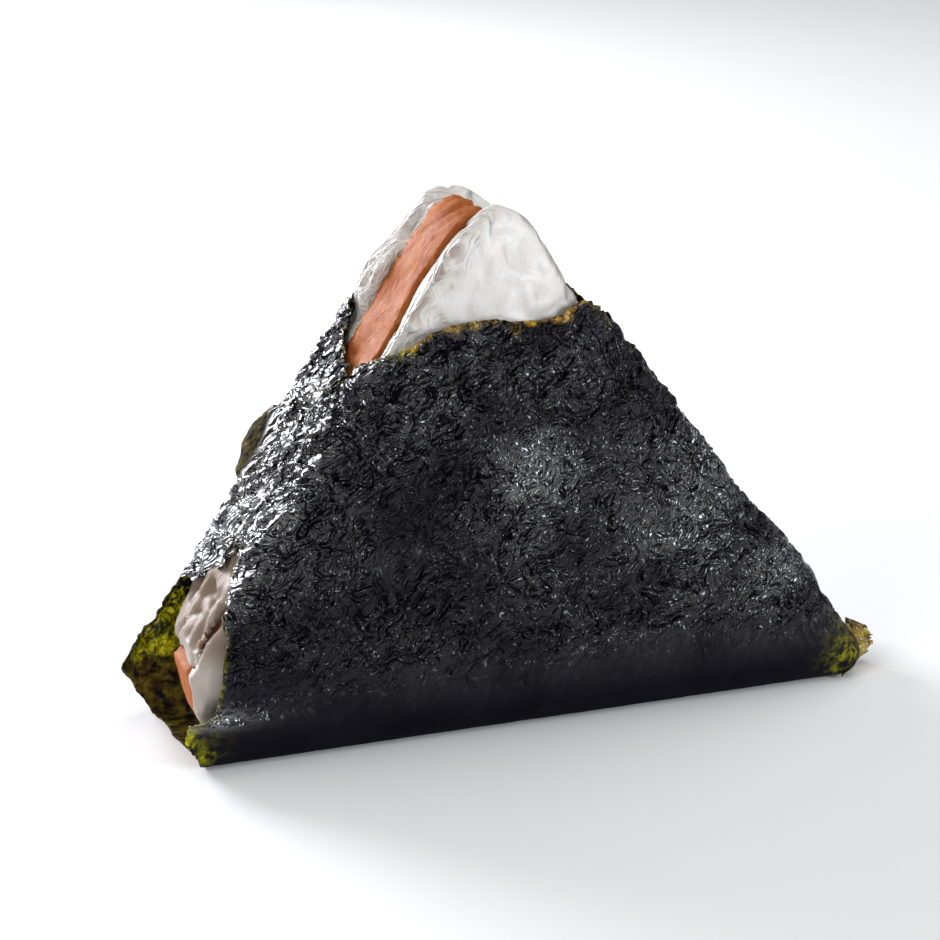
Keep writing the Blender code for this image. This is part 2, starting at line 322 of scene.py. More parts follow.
def from_slope(points):
    """How far inside the sheet's left slope the points lie."""
    return sides[2][1] - points[:, [0, 2]] @ LEFT_OUT


def linked(name, mesh):
    """A new object in the scene with this mesh."""
    obj = bpy.data.objects.new(name, mesh)
    bpy.context.collection.objects.link(obj)
    return obj


def applied(obj):
    """The object's mesh as its modifiers make it."""
    view_layer = bpy.context.evaluated_depsgraph_get()
    return bpy.data.meshes.new_from_object(obj.evaluated_get(view_layer), depsgraph=view_layer)


def evened(mesh, size, soften=0):
    """This closed mesh made anew with even faces of this size, and softened this many times."""
    obj = linked("evened", mesh)
    grid = obj.modifiers.new("even", "REMESH")
    grid.mode = "VOXEL"
    grid.voxel_size = size * MM
    grid.use_smooth_shade = soften > 0
    if soften:
        obj.modifiers.new("soften", "SMOOTH").iterations = soften
    made = applied(obj)
    bpy.data.objects.remove(obj)
    return made


def mesh_of(name, points, faces, marks):
    """An object from points in millimetres, with numbers stored on its points."""
    mesh = bpy.data.meshes.new(name)
    mesh.from_pydata((points * MM).tolist(), [], [tuple(f) for f in faces])
    mesh.update()
    for mark, values in marks.items():
        mesh.attributes.new(mark, "FLOAT", "POINT").data.foreach_set("value", values.astype(np.float32))
    mesh.shade_smooth()
    return linked(name, mesh)


print("a soft step, a quarter of the way up:", ease(np.array(0.25), 0.0, 1.0).round(3))

# %% [markdown]
# What the sheet does on its way round. On the left slope the front flap lies over the back one, and its free
# edge stands off in a small tent. Where the sheet is thin, light comes through it, and that light is painted
# into its colour as a green or amber glow. So each patch gets three numbers: how far it lifts, how much
# painted glow it has and how amber the glow is.

# %% Lift, painted glow and amber places
TENT = (-27.0, 10.5, 37.0)  # where the front flap's edge stands off the left slope
LIP = (-43.0, -12.0, 3.5)  # the rolled end of the fold in front of the open corner
BEST_LIT = (  # where the broad face was pressed smoothest: place, reach and how much more gloss
    ((3.0, -13.0, 35.0), (5.5, 9.0, 6.0), 2.2),
    ((27.0, -13.0, 31.0), (7.5, 9.0, 8.0), 2.2),
    ((38.0, -13.0, 18.0), (6.0, 9.0, 6.0), 1.4),
    ((0.0, -13.0, 50.0), (12.0, 9.0, 3.5), 0.5),
)


def front_look(points, away, on_slope, on_other):
    """How far the front patch lifts, how much light coming through it is painted on it as glow, and how amber
    that glow is.
    """
    lift = 0.35 * ease(on_slope, 0.1, 0.5)
    lift += 1.5 * near(points, (-26.0, 10.5, 37.0), (6.5, 5.0, 7.5))
    lift += 0.9 * near(points, (-33.0, -10.0, 7.0), (9.0, 6.0, 1.3))
    # painted glow of light coming through the sheet: the rolled lip, the tent and a place near the right foot
    painted_glow = 0.62 * near(points, LIP, (3.4, 5.0, 4.2))
    painted_glow += 0.26 * near(points, (-28.0, 10.5, 36.0), (5.0, 4.0, 6.5))
    painted_glow += 0.22 * near(points, (51.5, -12.0, 4.0), (3.0, 5.0, 4.0))
    # painted glow along the torn top edge, where light comes through the thin rim
    top_edge = ease(points[:, 2], 52.0, 55.0) * (1 - ease(on_slope + on_other, 0.35, 0.8))
    torn = 1.1 + 0.8 * np.sin(points[:, 0] * 0.9) + 0.5 * np.sin(points[:, 0] * 2.3 + 1.0)
    painted_glow += 0.75 * top_edge * (1 - ease(away / np.maximum(torn, 0.35), 0.3, 1.0))
    # the amber hue of the painted glow on the top edge and the tent
    amber = np.maximum(top_edge * 0.9, 0.75 * near(points, TENT, (6.0, 5.0, 8.0)))
    return lift, painted_glow, amber


def back_look(points, on_slope, on_other):
    """The same for the back patch, whose lower left corner is the broad flap at the open corner."""
    lift = 0.05 * ease(on_other, 0.1, 0.5)
    flap = (1 - ease(right_of_tip(points), -36.5, -31.5)) * (1 - ease(on_slope, 0.2, 0.7))
    # painted light: the flap glows brighter towards its top, and its lower part takes the amber hue of the
    # glow
    painted_glow = flap * (0.25 + 2.2 * ease(points[:, 2], 6.5, 10.5))
    amber = flap * (1 - ease(points[:, 2], 5.0, 10.0)) * 0.7
    return lift, painted_glow, amber


print("places pressed smoothest:", len(BEST_LIT))

# %% [markdown]
# The sheet lies close and smooth at the base, where the weight presses it, and loosely on the slopes, where
# it crumples most and shines. "slack" says how crumpled it is and "gloss" how much it shines. Wrapping a
# patch then puts all of this on its points.

# %% Wrap the patches and mark them


def crumpling(points, on_slope, side):
    """How crumpled and how glossy the sheet is: calm near the floor and on the tent, most on the slope."""
    up = points[:, 2]
    inward = from_slope(points)
    slack = 0.12 + 0.88 * ease(up, 3.0, 17.0)
    slack *= np.where(up < 0.6, 0.35, 1.0)
    slack *= 1.0 + 0.2 * (1 - ease(inward, 4.0, 17.0)) * ease(up, 16.0, 24.0)
    gloss = 0.30 + 0.62 * ease(on_slope, 0.2, 0.6)
    gloss += 0.5 * (1 - ease(inward, 4.0, 14.0)) * ease(up, 20.0, 26.0)
    if side < 0:
        for place, spread, more in BEST_LIT:
            gloss += more * near(points, place, spread)
        gloss *= 1 - 0.55 * near(points, (-13.0, -13.0, 34.0), (9.0, 9.0, 12.0))
        tent = np.minimum(1.6 * near(points, TENT, (6.5, 6.0, 8.5)), 1.0)
        slack *= 1 - 0.8 * tent
        gloss *= 1 - tent
    gloss *= ease(up, 3.0, 15.0)
    if side < 0:
        gloss += 2.2 * near(points, (-38.0, -10.5, 8.0), (5.0, 5.0, 1.1))
    return slack, gloss


def wrapped_patch(side):
    """One patch wrapped round the body, with its marks."""
    flat, faces, away = patches["front" if side < 0 else "back"]
    points, normal = wrap(flat, side)
    on_slope = np.maximum(normal[:, 0] * -1.0, 0.0)  # the left narrow side
    on_other = np.maximum(normal[:, 0], 0.0)
    if side < 0:
        lift, painted_glow, amber = front_look(points, away, on_slope, on_other)
    else:
        lift, painted_glow, amber = back_look(points, on_slope, on_other)
    # painted glow of light coming through along every cut edge of the sheet
    painted_glow = np.maximum(painted_glow, 0.22 * (1 - ease(away, 0.15, 0.5)))
    slack, gloss = crumpling(points, on_slope, side)
    points = points + normal * lift[:, None]
    if side > 0:
        points[:, 0] -= 1.2 * near(points, (-44.0, 9.0, 11.0), (5.0, 9.0, 6.0))
    first = np.array(faces[0])
    a, b, c = points[first]
    if np.cross(b - a, c - a) @ normal[first[0]] < 0:
        faces = [t[::-1] for t in faces]
    return points, faces, {"slack": slack, "painted_glow": painted_glow, "amber": amber, "gloss": gloss}


print("marks on a patch:", sorted(wrapped_patch(1)[2]))

# %% [markdown]
# Node groups are built the same way for shapes and for surfaces: named sockets on the outside, nodes and
# links inside. These helpers keep that short. The last one squeezes the coordinates along the way the sheet
# was pulled when it was folded, so that anything that reads them comes out longer that way.

# %% Helpers for building node groups


def new_group(name, kind, inputs, outputs):
    """A node group with these named sockets."""
    group = bpy.data.node_groups.new(name, kind)
    for label, socket in inputs:
        group.interface.new_socket(label, in_out="INPUT", socket_type=socket)
    for label, socket in outputs:
        group.interface.new_socket(label, in_out="OUTPUT", socket_type=socket)
    return group, group.nodes.new("NodeGroupInput"), group.nodes.new("NodeGroupOutput")


def add(group, kind, **settings):
    """A node with these properties, and its number inputs by index."""
    node = group.nodes.new(kind)
    for key, value in settings.items():
        if key == "inputs":
            for index, number in value.items():
                node.inputs[index].default_value = number
        else:
            setattr(node, key, value)
    return node


def arithmetic(group, operation, first, second=None, third=None):
    """A Math node fed by sockets or numbers."""
    node = add(group, "ShaderNodeMath", operation=operation)
    for socket, value in zip(node.inputs, (first, second, third)):
        if value is None:
            continue
        if isinstance(value, (int, float)):
            socket.default_value = value
        else:
            group.links.new(value, socket)
    return node.outputs[0]


def stored(group, name, kind="FLOAT"):
    """A mark that is stored on the points, by its name."""
    node = add(group, "GeometryNodeInputNamedAttribute", data_type=kind)
    node.inputs["Name"].default_value = name
    return node.outputs["Attribute"]


def by_chance(group, low, high, seed=0):
    """A random number between two limits for each point."""
    node = add(group, "FunctionNodeRandomValue", data_type="FLOAT", inputs={2: low, 3: high})
    node.inputs["Seed"].default_value = seed
    return node.outputs[1]


def drawn_out(group, place):
    """Coordinates squeezed along the way the sheet was pulled, so its creases run long that way."""
    along = add(group, "ShaderNodeVectorMath", operation="DOT_PRODUCT")
    group.links.new(place, along.inputs[0])
    along.inputs[1].default_value = PULL
    share = add(group, "ShaderNodeVectorMath", operation="SCALE")
    share.inputs[0].default_value = PULL
    group.links.new(arithmetic(group, "MULTIPLY", along.outputs["Value"], 0.55), share.inputs["Scale"])
    rest = add(group, "ShaderNodeVectorMath", operation="SUBTRACT")
    group.links.new(place, rest.inputs[0])
    group.links.new(share.outputs[0], rest.inputs[1])
    return rest.outputs[0]


PULL = (0.39, -0.70, 0.60)
print("the sheet was pulled along", PULL)

# %% [markdown]
# The crumpling. A roasted sheet never lies flat: it has broad dents from the hand, sharp little creases,
# and a fine worm-like crinkle from the dried seaweed. Geometry nodes suit this, because the same three
# noises then serve every sheet, and each can be turned up or down by name.

# %% Crumple with geometry nodes


def crumple_group():
    group, start, end = new_group(
        "Crumple", "GeometryNodeTree",
        [("Sheet", "NodeSocketGeometry"), ("Dents", "NodeSocketFloat"), ("Creases", "NodeSocketFloat"),
         ("Crinkle", "NodeSocketFloat"), ("Finish", "NodeSocketMaterial")],
        [("Sheet", "NodeSocketGeometry")])
    link = group.links.new
    place = drawn_out(group, add(group, "GeometryNodeInputPosition").outputs[0])
    normal = add(group, "GeometryNodeInputNormal")
    total = None
    for label, scale, detail, twist, kind in (
        ("Dents", 62.0, 1.0, 0.6, "dent"),
        ("Creases", 120.0, 1.0, 2.2, "crease"),
        ("Crinkle", 250.0, 0.5, 2.0, "crease"),
    ):
        noise = add(group, "ShaderNodeTexNoise")
        noise.inputs["Scale"].default_value = scale
        noise.inputs["Detail"].default_value = detail
        noise.inputs["Distortion"].default_value = twist
        link(place, noise.inputs["Vector"])
        height = arithmetic(group, "SUBTRACT", noise.outputs[0], 0.5)
        if kind == "crease":
            height = arithmetic(group, "ABSOLUTE", height)
            height = arithmetic(group, "SUBTRACT", 0.12, height)
        height = arithmetic(group, "MULTIPLY", height, start.outputs[label])
        total = height if total is None else arithmetic(group, "ADD", total, height)
    total = arithmetic(group, "MULTIPLY", total, stored(group, "slack"))
    push = add(group, "ShaderNodeVectorMath", operation="SCALE")
    link(normal.outputs[0], push.inputs[0])
    link(total, push.inputs["Scale"])
    move = add(group, "GeometryNodeSetPosition")
    link(start.outputs["Sheet"], move.inputs["Geometry"])
    link(push.outputs[0], move.inputs["Offset"])
    realize = add(group, "GeometryNodeRealizeInstances")
    link(move.outputs[0], realize.inputs[0])
    finish = add(group, "GeometryNodeSetMaterial")
    link(realize.outputs[0], finish.inputs[0])
    link(start.outputs["Finish"], finish.inputs["Material"])
    link(finish.outputs[0], end.inputs[0])
    return group


CRUMPLE = crumple_group()


def run_nodes(obj, group, thickness=0.0, **values):
    """Runs a node group on an object, by named inputs, and keeps the result as a plain mesh."""
    modifier = obj.modifiers.new("nodes", "NODES")
    modifier.node_group = group
    sockets = {i.name: i.identifier for i in group.interface.items_tree if i.in_out == "INPUT"}
    for label, value in values.items():
        modifier[sockets[label]] = value
    if thickness:
        solid = obj.modifiers.new("thickness", "SOLIDIFY")
        solid.thickness = thickness * MM
        solid.offset = -1.0
    made = applied(obj)
    obj.modifiers.clear()
    obj.data = made


print("crumple inputs:", [i.name for i in CRUMPLE.interface.items_tree if i.in_out == "INPUT"])

# %% [markdown]
# Surfaces. Two effects are shared by all the materials, so each is one node group: a mottle that wanders
# between two values, and a worm-like crinkle. Both read the object's own place in space, so the patterns
# have real sizes and stay with the piece when it moves.

# %% Shared surface effects


def mottle_group():
    """A value that wanders between Low and High."""
    group, start, end = new_group(
        "Mottle", "ShaderNodeTree",
        [("Vector", "NodeSocketVector"), ("Scale", "NodeSocketFloat"), ("Low", "NodeSocketFloat"),
         ("High", "NodeSocketFloat"), ("Sharpness", "NodeSocketFloat")],
        [("Value", "NodeSocketFloat")])
    noise = add(group, "ShaderNodeTexNoise")
    noise.inputs["Detail"].default_value = 3.0
    noise.inputs["Distortion"].default_value = 0.5
    group.links.new(start.outputs["Vector"], noise.inputs["Vector"])
    group.links.new(start.outputs["Scale"], noise.inputs["Scale"])
    height = arithmetic(group, "SUBTRACT", noise.outputs[0], 0.5)
    height = arithmetic(group, "MULTIPLY_ADD", height, start.outputs["Sharpness"], 0.5)
    blend = add(group, "ShaderNodeMapRange", clamp=True)
    group.links.new(height, blend.inputs["Value"])
    group.links.new(start.outputs["Low"], blend.inputs["To Min"])
    group.links.new(start.outputs["High"], blend.inputs["To Max"])
    group.links.new(blend.outputs[0], end.inputs[0])
    return group


def crinkle_group():
    """A surface normal with worm-like ridges of this scale and height."""
    group, start, end = new_group(
        "Crinkle", "ShaderNodeTree",
        [("Vector", "NodeSocketVector"), ("Scale", "NodeSocketFloat"), ("Height", "NodeSocketFloat"),
         ("Strength", "NodeSocketFloat"), ("Normal", "NodeSocketVector")],
        [("Normal", "NodeSocketVector"), ("Ridge", "NodeSocketFloat")])
    noise = add(group, "ShaderNodeTexNoise")
    noise.inputs["Detail"].default_value = 0.5
    noise.inputs["Distortion"].default_value = 1.8
    group.links.new(start.outputs["Vector"], noise.inputs["Vector"])
    group.links.new(start.outputs["Scale"], noise.inputs["Scale"])
    ridge = arithmetic(group, "ABSOLUTE", arithmetic(group, "SUBTRACT", noise.outputs[0], 0.5))
    ridge = arithmetic(group, "SUBTRACT", 1.0, arithmetic(group, "MULTIPLY", ridge, 5.0))
    bump = add(group, "ShaderNodeBump")
    group.links.new(ridge, bump.inputs["Height"])
    group.links.new(start.outputs["Height"], bump.inputs["Distance"])
    group.links.new(start.outputs["Strength"], bump.inputs["Strength"])
    group.links.new(start.outputs["Normal"], bump.inputs["Normal"])
    group.links.new(bump.outputs[0], end.inputs["Normal"])
    group.links.new(ridge, end.inputs["Ridge"])
    return group


MOTTLE = mottle_group()
CRINKLE = crinkle_group()
print("shared surface effects:", MOTTLE.name, CRINKLE.name)

# %% [markdown]
# Materials are then put together from these effects with short helpers: a new material, one of the effects
# at a given scale, a mix of two colours, and a number that was stored on the points.

# %% Helpers for materials


def new_material(name):
    """A material, its Principled shader, and the object's own coordinates."""
    material = bpy.data.materials.new(name)
    material.use_nodes = True
    tree = material.node_tree
    place = tree.nodes.new("ShaderNodeTexCoord")
    return material, tree, tree.nodes["Principled BSDF"], place.outputs["Object"]


def effect(tree, group, place, **values):
    """A shared effect that reads this place, with these numbers by name."""
    node = tree.nodes.new("ShaderNodeGroup")
    node.node_tree = group
    tree.links.new(place, node.inputs["Vector"])
    for label, value in values.items():
        node.inputs[label].default_value = value
    return node


def mottle(tree, place, scale, low, high, sharpness=1.6):
    node = effect(tree, MOTTLE, place, Scale=scale, Low=low, High=high, Sharpness=sharpness)
    return node.outputs["Value"]


def crinkle(tree, place, scale, height, strength, normal=None):
    node = effect(tree, CRINKLE, place, Scale=scale, Height=height * MM, Strength=strength)
    if normal is not None:
        tree.links.new(normal, node.inputs["Normal"])
    return node.outputs["Normal"], node.outputs["Ridge"]


def blend(tree, factor, first, second):
    """A mix of two colours, each a colour or a socket."""
    node = tree.nodes.new("ShaderNodeMix")
    node.data_type = "RGBA"
    tree.links.new(factor, node.inputs[0])
    for socket, value in ((node.inputs[6], first), (node.inputs[7], second)):
        if isinstance(value, tuple):
            socket.default_value = (*value, 1.0)
        else:
            tree.links.new(value, socket)
    return node.outputs[2]


def marked(tree, name):
    """A number stored on the points."""
    node = tree.nodes.new("ShaderNodeAttribute")
    node.attribute_name = name
    return node.outputs["Fac"]


print("marks that the nori's surface reads: slack, gloss, thin, amber")

# %% [markdown]
# Nori is a dried film of seaweed. It is almost black with a touch of violet, and glossy where it was
# pressed on the drying mat, so it shows light as sparks on its crinkles and not as one broad shine. Where it
# is thin, the light that comes through it is painted into its colour as a yellow green or amber glow, with a
# few small spots of the same painted glow. The glow is painted on faces turned to the front, and the sheet
# keeps its black where it faces the back.

# %% Nori surface


def nori_material():
    material, tree, surface, place = new_material("roasted nori")
    patchy = mottle(tree, place, 160.0, 0.0, 1.0)
    dark = blend(tree, patchy, (0.0035, 0.0030, 0.0055), (0.0085, 0.0072, 0.0125))
    flecks = mottle(tree, place, 620.0, 0.0, 1.0, 4.0)
    # painted light: the green and amber glow of light that comes through the thin places
    painted_green_glow = blend(tree, flecks, (0.050, 0.056, 0.002), (0.85, 0.80, 0.012))
    amber_mottle = mottle(tree, place, 520.0, 0.0, 1.0, 3.0)
    painted_amber_glow = blend(tree, amber_mottle, (0.050, 0.020, 0.004), (0.62, 0.33, 0.040))
    bright = blend(tree, marked(tree, "amber"), painted_green_glow, painted_amber_glow)
    # small spots painted with the same glow
    spots = mottle(tree, place, 330.0, -4.4, 0.55, 1.6)
    spots = arithmetic(tree, "MAXIMUM", spots, 0.0)
    fine = mottle(tree, place, 800.0, 0.05, 1.5, 4.0)
    facing = tree.nodes.new("ShaderNodeNewGeometry")
    split = tree.nodes.new("ShaderNodeSeparateXYZ")
    tree.links.new(facing.outputs["Normal"], split.inputs[0])
    # painted light: the glow fades where the sheet faces the back
    behind = arithmetic(tree, "MAXIMUM", split.outputs["Y"], 0.0)
    inside = arithmetic(tree, "MULTIPLY_ADD", behind, -0.85, 1.0)
    seen_through = arithmetic(tree, "MULTIPLY", marked(tree, "painted_glow"), inside)
    painted_glow = arithmetic(tree, "MULTIPLY", arithmetic(tree, "ADD", seen_through, spots), fine)
    painted_glow = arithmetic(tree, "MINIMUM", painted_glow, 1.0)
    tree.links.new(blend(tree, painted_glow, dark, bright), surface.inputs["Base Color"])
    calm = arithmetic(tree, "MAXIMUM", arithmetic(tree, "SUBTRACT", 0.28, marked(tree, "gloss")), 0.0)
    rough = arithmetic(tree, "MULTIPLY_ADD", calm, 1.6, mottle(tree, place, 130.0, 0.12, 0.26, 2.0))
    tree.links.new(rough, surface.inputs["Roughness"])
    gloss = arithmetic(tree, "MULTIPLY", marked(tree, "gloss"), mottle(tree, place, 90.0, 0.35, 1.5, 3.0))
    gloss = arithmetic(tree, "ADD", gloss, 0.02)
    tree.links.new(gloss, surface.inputs["Specular IOR Level"])
    pulled = drawn_out(tree, place)
    broad, _ = crinkle(tree, pulled, 230.0, 0.80, 1.0)
    small, _ = crinkle(tree, pulled, 520.0, 0.26, 0.8, broad)
    for normal in (broad, small):
        tree.links.new(marked(tree, "slack"), normal.node.inputs["Strength"])
    tree.links.new(small, surface.inputs["Normal"])
    return material


NORI = nori_material()
print("surface:", NORI.name)

# %% [markdown]
# The sheets themselves. Each patch is bent round, crumpled, and given the thickness of a real sheet. The
# small ear at the right foot is the end of the fold, which sticks out past the corner and was pinched, so
# it is a short strip of its own that starts inside the fold.

# %% Make the nori
NORI_THICK = 0.16


def sheet_piece(name, side):
    points, faces, marks = wrapped_patch(side)
    obj = mesh_of(name, points, faces, marks)
    run_nodes(obj, CRUMPLE, NORI_THICK, Dents=1.8 * MM, Creases=3.0 * MM, Crinkle=3.0 * MM, Finish=NORI)
    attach(obj, "root")
    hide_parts("nori")
    return obj


def foot_ear():
    """The crumpled end of the fold that sticks out at the right foot."""
    side, count = 5.9, 26
    chance = np.random.default_rng(12)
    points, faces = [], []
    wave = chance.normal(size=count) * 0.22
    for j in range(count):
        v = j / (count - 1)
        reach = 57.9 - 2.6 * abs(v - 0.42) ** 1.6 * 2.0 + wave[j] - 1.2 * ease(v, 0.8, 1.0)
        for i in range(count):
            u = i / (count - 1)
            x = 51.0 + (reach - 51.0) * u
            y = -10.6 + 4.6 * u + 1.0 * v + 0.9 * math.sin(5.0 * v + 2.0 * u) * u
            z = 0.45 + side * v * (0.80 + 0.20 * u) + 0.3 * math.sin(7.0 * u) * v
            points.append((tip[0] + x, y, z))
    for j in range(count - 1):
        for i in range(count - 1):
            a = j * count + i
            faces.append((a, a + 1, a + count + 1, a + count))
    points = np.array(points)
    # the ear is painted with a full glow of light coming through it, amber towards its tip
    marks = {"slack": np.full(len(points), 0.8), "painted_glow": np.full(len(points), 1.5),
             "gloss": np.full(len(points), 0.6),
             "amber": 0.8 * ease(right_of_tip(points) + 0.6 * points[:, 2], 52.5, 56.0)}
    obj = mesh_of("nori_ear", points, faces, marks)
    run_nodes(obj, CRUMPLE, NORI_THICK, Dents=1.2 * MM, Creases=2.4 * MM, Crinkle=1.2 * MM, Finish=NORI)
    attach(obj, "root")
    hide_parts("nori")
    return obj


for piece in (sheet_piece("nori_front", -1), sheet_piece("nori_back", 1), foot_ear()):
    print(piece.name, len(piece.data.polygons), "faces")

# %% [markdown]
# Cooked rice lets some light in, which makes it soft and white and hides small hollows. On the narrow sides
# the sheet was pulled along the slope, which combed the grains, so fine grooves run down there, with painted
# shade in them. At the open corner the rice colour is darkened with painted shade, and it is a little duller.

# %% Rice surface


def rice_material():
    material, tree, surface, place = new_material("cooked rice")
    cloudy = mottle(tree, place, 230.0, 0.0, 1.0, 2.0)
    tint = blend(tree, cloudy, (0.655, 0.612, 0.56), (0.735, 0.705, 0.67))
    # painted shade: the rice at the open corner is darkened
    tint = blend(tree, marked(tree, "shade"), tint, (0.26, 0.195, 0.150))
    shine = arithmetic(tree, "MULTIPLY_ADD", marked(tree, "shade"), -0.42, 0.5)
    tree.links.new(shine, surface.inputs["Specular IOR Level"])
    streak = tree.nodes.new("ShaderNodeAttribute")
    streak.attribute_name = "streak"
    comb, ridge = crinkle(tree, streak.outputs["Vector"], 1350.0, 0.55, 0.9)
    # painted shade in the grooves of the combed rice
    painted_groove_shade = arithmetic(tree, "SUBTRACT", 1.0, arithmetic(tree, "MULTIPLY", ridge, 1.6))
    painted_groove_shade = arithmetic(tree, "MULTIPLY", arithmetic(tree, "MAXIMUM", painted_groove_shade, 0.0), marked(tree, "combed"))
    tint = blend(tree, arithmetic(tree, "MINIMUM", painted_groove_shade, 0.85), tint, (0.40, 0.32, 0.28))
    tree.links.new(tint, surface.inputs["Base Color"])
    tree.links.new(mottle(tree, place, 300.0, 0.32, 0.55), surface.inputs["Roughness"])
    surface.inputs["Subsurface Weight"].default_value = 0.35
    surface.inputs["Subsurface Radius"].default_value = (1.0, 0.75, 0.55)
    surface.inputs["Subsurface Scale"].default_value = 0.9 * MM
    tree.links.new(marked(tree, "combed"), comb.node.inputs["Strength"])
    soft, _ = crinkle(tree, place, 420.0, 0.10, 0.35, comb)
    tree.links.new(soft, surface.inputs["Normal"])
    return material


RICE = rice_material()
print("surface:", RICE.name)

# %% [markdown]
# Cooked salmon is a dull orange with paler fat between its flakes. It hardly shines, and lets red light
# through further than blue, which warms its shadows.

# %% Salmon surface


def salmon_material():
    material, tree, surface, place = new_material("cooked salmon")
    patchy = mottle(tree, place, 240.0, 0.0, 1.0, 2.4)
    flesh = blend(tree, patchy, (0.32, 0.078, 0.015), (0.39, 0.122, 0.031))
    fat = blend(tree, mottle(tree, place, 620.0, -0.9, 0.6, 3.0), flesh, (0.47, 0.170, 0.060))
    tree.links.new(fat, surface.inputs["Base Color"])
    tree.links.new(mottle(tree, place, 350.0, 0.45, 0.7), surface.inputs["Roughness"])
    surface.inputs["Specular IOR Level"].default_value = 0.07
    surface.inputs["Subsurface Weight"].default_value = 0.25
    surface.inputs["Subsurface Radius"].default_value = (1.0, 0.35, 0.15)
    surface.inputs["Subsurface Scale"].default_value = 0.8 * MM
    flake, _ = crinkle(tree, place, 260.0, 0.20, 0.30)
    fine, _ = crinkle(tree, place, 900.0, 0.06, 0.25, flake)
    tree.links.new(fine, surface.inputs["Normal"])
    return material


SALMON = salmon_material()
print("surface:", SALMON.name)

# %% [markdown]
# Where nothing presses the layers, at the tip and at the open corner, they lean on each other or lap over
# each other a little. Two marks say where rice laps over the fish, and one function says how far each
# point of a layer moves.

# %% How the layers lean


def under_heap(points, normals):
    """1 where rice has fallen over the fish at the open corner."""
    place = ease(points[:, 2], 12.0, 14.5) * (1 - ease(points[:, 2], 34.0, 37.0))
    return place * ease(-normals[:, 0], -0.3, 0.2) * ease(-right_of_tip(points), 20.0, 24.0)


def lap_over_fish(points, normals):
    """1 where the front rice laps over the fish at the foot of the open corner."""
    border = -9.8 + 4.6 * ease(points[:, 2], 8.6, 14.0)
    low = ease(-right_of_tip(points), 31.0, 34.0) * (1 - ease(points[:, 2], 17.0, 20.0))
    return low * np.maximum(ease(border - points[:, 1], -0.4, 0.4), ease(-normals[:, 1], 0.3, 0.7))


def tip_shape(node, points, normals):
    """How far each point moves where nothing presses the layers, at the tip and at the open corner."""
    across = right_of_tip(points)
    high = ease(points[:, 2], 61.0, 67.0)
    move = np.zeros_like(points)
    if node == "rice_front":
        lean = np.exp(-(((across - 3.6) / 4.5) ** 2)) * high
        move[:, 1] += 2.6 * lean
        move[:, 2] = 1.6 * lean
    elif node == "salmon":
        move[:, 2] = 0.9 * np.exp(-(((across + 1.8) / 3.0) ** 2)) * high
        hidden = ease(across, 0.5, 3.0) * ease(points[:, 2], 52.0, 58.0)
        move -= normals * (1.8 * hidden)[:, None]
        move -= normals * (0.5 * lap_over_fish(points, normals))[:, None]
        move -= normals * (1.3 * under_heap(points, normals))[:, None]
        behind = ease(normals[:, 1], 0.2, 0.7) * ease(points[:, 2], 44.0, 50.0)
        move[:, 1] += 1.0 * behind
    else:
        move[:, 2] = 0.5 * np.exp(-(((across - 2.0) / 2.6) ** 2)) * high
        on_side = ease(-normals[:, 0], 0.1, 0.6)
        fuller = (1 - ease(points[:, 2], 60.0, 63.5)) * ease(points[:, 2], 54.0, 57.5)
        move[:, 0] += on_side * (1.5 * ease(points[:, 2], 62.5, 66.5) - 1.9 * fuller)
    return move


print("rice laps over the fish below 37 mm, and the layers change their shape above 44 mm")

# %% [markdown]
# The food's layers come from the frame. Its faces are large and uneven, which is right for a solid that is
# weighed and dropped but not for grains and flakes. So each layer is copied with small even faces.

# %% Even copies of the frame's layers


def even_copy(node, size):
    """A closed copy of a frame node with even faces of this size, as points, faces and outward normals."""
    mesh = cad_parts[node].data.copy()
    shape = bmesh.new()
    shape.from_mesh(mesh)
    bmesh.ops.remove_doubles(shape, verts=shape.verts, dist=0.001 * MM)
    shape.to_mesh(mesh)
    shape.free()
    made = evened(mesh, size)
    points = rows_of(made.vertices, "co") / MM
    normals = rows_of(made.vertex_normals, "vector")
    faces = [tuple(p.vertices) for p in made.polygons]
    return points + tip_shape(node, points, normals), faces, normals


LAYERS = {node: even_copy(node, 0.8) for node in ("rice_front", "rice_back")}
LAYERS["salmon"] = even_copy("salmon", 0.55)
for node, (points, faces, normals) in LAYERS.items():
    print(node, "even copy:", len(points), "points")

# %% [markdown]
# Where the rice is bare: the tip above the sheet's edge, a little way down under that edge, and the open
# lower corner. Two functions say how bare and how combed the rice is at each point.

# %% Mark the bare rice


def slope_place(points):
    """How far down the left and the right slope the points lie, from the tip."""
    ground = points[:, [0, 2]] - tip
    return ground @ LEFT_DOWN, ground @ RIGHT_DOWN


def bare_rice(points, normals):
    """1 where grains show, with a margin under the edges of the sheet."""
    down_left, down_right = slope_place(points)
    on_left_side = -normals[:, 0] > 0.45
    on_right_side = normals[:, 0] > 0.45
    face = (points[:, 2] > 50.0) & ~on_left_side & ~on_right_side
    left_tip = on_left_side & (down_left < 44.0) & (down_left > 0)
    right_tip = on_right_side & (down_right < 40.0)
    corner = (right_of_tip(points) < -24.0) & on_left_side & (points[:, 2] < 34.0)
    foot = (right_of_tip(points) < -34.0) & (points[:, 2] < 30.0)
    return (face | left_tip | right_tip | corner | foot).astype(float)


def combed(points, normals):
    """1 on the narrow sides and a little way round their edges, fading out on the broad faces."""
    side = np.maximum(np.abs(normals[:, 0]) - 0.35, 0.0) / 0.3
    beside = 0.45 * (1 - ease(from_slope(points), 2.6, 5.0))
    return np.clip(np.maximum(side, beside), 0.0, 1.0) * ease(points[:, 2], 30.0, 36.0)


for node in ("rice_front", "rice_back"):
    points, faces, normals = LAYERS[node]
    print(node, "bare:", round(100 * float(bare_rice(points, normals).mean())), "percent of its points")

# %% [markdown]
# One grain is a stretched ball, a little bent and thicker at one end. A handful of different ones is
# enough, because each is turned another way each time.

# %% Make the grains


